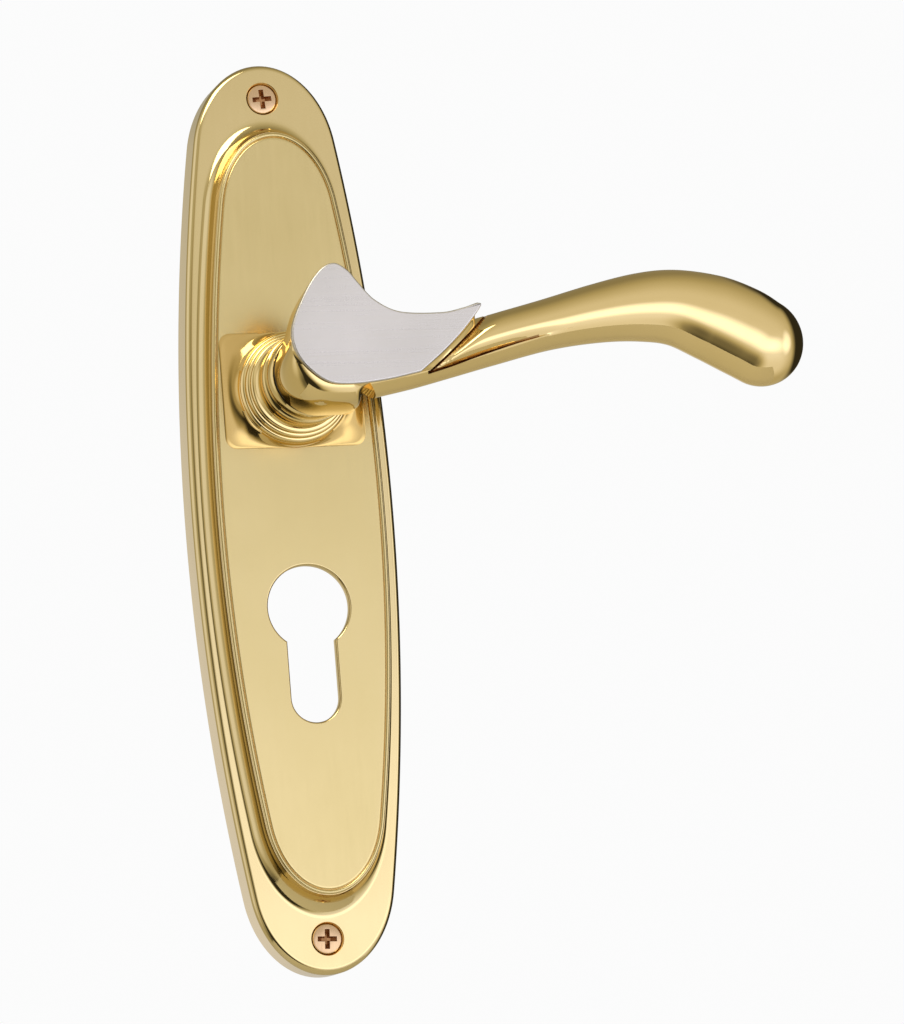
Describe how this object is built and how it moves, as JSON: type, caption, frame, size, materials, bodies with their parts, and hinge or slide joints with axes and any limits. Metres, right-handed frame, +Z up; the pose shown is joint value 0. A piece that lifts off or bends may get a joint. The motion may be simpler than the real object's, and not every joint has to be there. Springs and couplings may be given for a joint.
{
  "type": "sprung lever door handle",
  "caption": "Two-tone scroll lever door handle on a long oval backplate with a euro-profile cut-out, sprung return cassette, square spindle and countersunk fixing screws.",
  "frame": {"origin": "on the spindle's axis, in the plane of the door's face", "axes": "+Y into the door, along the spindle; +Z up, along the backplate; +X towards the lever's free end"},
  "size_m": [0.1312, 0.0962, 0.2],
  "materials": {
    "plate_brass": "satin lacquered brass, fine vertical grain",
    "polished_brass": "polished lacquered brass",
    "satin_nickel": "satin nickel plate, horizontal brush lines",
    "zinc_steel": "zinc-plated steel",
    "spring_steel": "bare spring steel",
    "screw_brass": "electro-brassed steel screw",
    "nylon": "natural nylon",
    "black_nylon": "black nylon"
  },
  "bodies": {
    "backplate": {"backplate": "plate_brass", "neck_collar": "polished_brass", "neck_bush": "nylon", "cassette_cup": "zinc_steel", "cassette_cover": "zinc_steel", "return_spring_right": "spring_steel", "return_spring_left": "spring_steel", "cover_screw_upper": "zinc_steel", "cover_screw_lower": "zinc_steel", "fixing_screw_upper": "screw_brass", "fixing_screw_lower": "screw_brass"},
    "lever": {"lever": "polished_brass", "lever_face": "satin_nickel", "head_washer": "black_nylon", "spindle": "zinc_steel", "grub_screw": "spring_steel", "thrust_washer": "zinc_steel", "spring_rotor": "zinc_steel", "wave_washer": "spring_steel", "circlip": "spring_steel"}
  },
  "joints": [
    {"name": "lever_turn", "type": "hinge", "parent": "backplate", "child": "lever", "pos_m": [0, 0, 0], "axis": [0, 1, 0], "range_deg": [0, 45], "stiffness_Nm_per_rad": 0.8, "springref_deg": -25.78, "deforming": ["return_spring_right", "return_spring_left"]}
  ]
}
